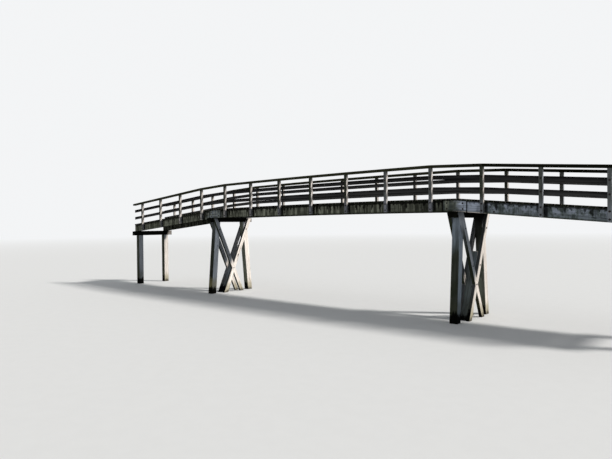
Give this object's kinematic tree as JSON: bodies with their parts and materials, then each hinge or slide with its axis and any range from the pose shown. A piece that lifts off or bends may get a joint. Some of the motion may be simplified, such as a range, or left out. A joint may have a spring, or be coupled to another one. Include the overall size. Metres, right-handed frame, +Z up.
{
  "type": "wooden footbridge",
  "caption": "Timber footbridge with laminated edge beams, a plank deck and post-and-board railings, standing on two pile bents with crossed braces and a raking strut.",
  "frame": {"origin": "at the water, midway between the two piers and midway between the edge beams", "axes": "+X along the bridge, +Y across it towards the far side, +Z up"},
  "size_m": [24.0012, 2.4, 4.731],
  "materials": {
    "laminated_beam": "weathered, grey-green with dark run-off stains",
    "splice_board": "weathered, bluish grey",
    "deck_plank": "weathered, dark grey-brown",
    "railing_post": "weathered, silver grey",
    "handrail": "weathered, grey-brown",
    "rail_board": "weathered, nearly black",
    "bearer": "weathered, dark brown",
    "pier_leg": "weathered, silver grey, algae and wet black near the water",
    "brace": "weathered, pale grey, algae near the water",
    "bank_pile": "weathered, grey-brown"
  },
  "bodies": {
    "root": {"beam_near_left": "laminated_beam", "beam_near_centre": "laminated_beam", "beam_near_right": "laminated_beam", "beam_far_left": "laminated_beam", "beam_far_centre": "laminated_beam", "beam_far_right": "laminated_beam", "splices_left_pier": "splice_board", "splices_right_pier": "splice_board", "deck_left": "deck_plank", "deck_centre": "deck_plank", "deck_right": "deck_plank", "posts_near_left": "railing_post", "posts_near_centre": "railing_post", "posts_near_right": "railing_post", "posts_far_left": "railing_post", "posts_far_centre": "railing_post", "posts_far_right": "railing_post", "handrail_near_left": "handrail", "handrail_near_centre": "handrail", "handrail_near_right": "handrail", "handrail_far_left": "handrail", "handrail_far_centre": "handrail", "handrail_far_right": "handrail", "boards_near_left": "rail_board", "boards_near_centre": "rail_board", "boards_near_right": "rail_board", "boards_far_left": "rail_board", "boards_far_centre": "rail_board", "boards_far_right": "rail_board", "cap_left": "bearer", "leg_near_left": "pier_leg", "leg_far_left": "pier_leg", "strut_left": "pier_leg", "brace_span_near_left": "brace", "brace_span_far_left": "brace", "brace_bank_near_left": "brace", "brace_bank_far_left": "brace", "cap_right": "bearer", "leg_near_right": "pier_leg", "leg_far_right": "pier_leg", "strut_right": "pier_leg", "brace_span_near_right": "brace", "brace_span_far_right": "brace", "brace_bank_near_right": "brace", "brace_bank_far_right": "brace", "sill_left": "bearer", "piles_left": "bank_pile", "sill_right": "bearer", "piles_right": "bank_pile"}
  },
  "joints": []
}
